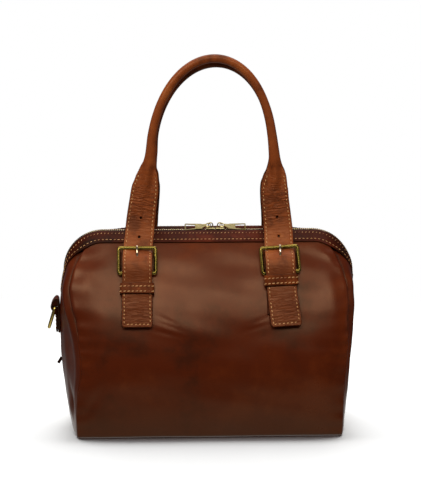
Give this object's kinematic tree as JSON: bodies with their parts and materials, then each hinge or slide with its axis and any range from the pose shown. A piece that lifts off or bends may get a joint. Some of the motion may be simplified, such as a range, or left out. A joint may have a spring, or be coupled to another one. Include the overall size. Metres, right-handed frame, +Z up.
{
  "type": "leather handbag",
  "caption": "Brown leather handbag with a zipped, rounded top, rolled handles on buckled straps, and a ring tab at each end.",
  "frame": {"origin": "middle of the base, on the surface that the bag stands on", "axes": "+Z up; -Y out of the front face; +X to the right of someone facing the front"},
  "size_m": [0.3606, 0.1766, 0.4366],
  "materials": {
    "body_leather": "burnished reddish brown, semi-gloss, fine grain",
    "strap_leather": "lighter brown, waxed, creased at the bends",
    "dark_leather": "dark brown, satin",
    "brass": "antique brass",
    "zip_tape": "woven tape, matt"
  },
  "bodies": {
    "bag": {"front_panel": "body_leather", "back_panel": "body_leather", "left_gusset": "body_leather", "right_gusset": "body_leather", "base_panel": "dark_leather", "front_zip_strip": "body_leather", "back_zip_strip": "body_leather", "front_zip_tape": "zip_tape", "back_zip_tape": "zip_tape", "zip_teeth": "brass", "left_zip_slider": "brass", "right_zip_slider": "brass", "left_ring_tab": "body_leather", "right_ring_tab": "body_leather", "front_handle": "strap_leather", "back_handle": "strap_leather", "front_left_chape": "dark_leather", "front_left_buckle": "brass", "front_left_prong": "brass", "front_left_keeper": "strap_leather", "front_right_chape": "dark_leather", "front_right_buckle": "brass", "front_right_prong": "brass", "front_right_keeper": "strap_leather", "back_left_chape": "dark_leather", "back_left_buckle": "brass", "back_left_prong": "brass", "back_left_keeper": "strap_leather", "back_right_chape": "dark_leather", "back_right_buckle": "brass", "back_right_prong": "brass", "back_right_keeper": "strap_leather", "gusset_tongue": "dark_leather"},
    "left_ring": {"left_d_ring": "brass"},
    "right_ring": {"right_d_ring": "brass"},
    "left_pull": {"left_zip_pull": "brass"},
    "right_pull": {"right_zip_pull": "brass"}
  },
  "joints": [
    {"name": "left_ring_swing", "type": "hinge", "parent": "bag", "child": "left_ring", "pos_m": [-0.17998, 0, 0.1406], "axis": [0, 1, 0], "range_deg": [-7, 130]},
    {"name": "right_ring_swing", "type": "hinge", "parent": "bag", "child": "right_ring", "pos_m": [0.16539, 0, 0.1406], "axis": [0, -1, 0], "range_deg": [-3, 145]},
    {"name": "left_pull_swing", "type": "hinge", "parent": "bag", "child": "left_pull", "pos_m": [0.0035, 0, 0.2364], "axis": [0, 1, 0], "range_deg": [0, 90]},
    {"name": "right_pull_swing", "type": "hinge", "parent": "bag", "child": "right_pull", "pos_m": [0.0145, 0, 0.2364], "axis": [0, -1, 0], "range_deg": [0, 90]}
  ]
}
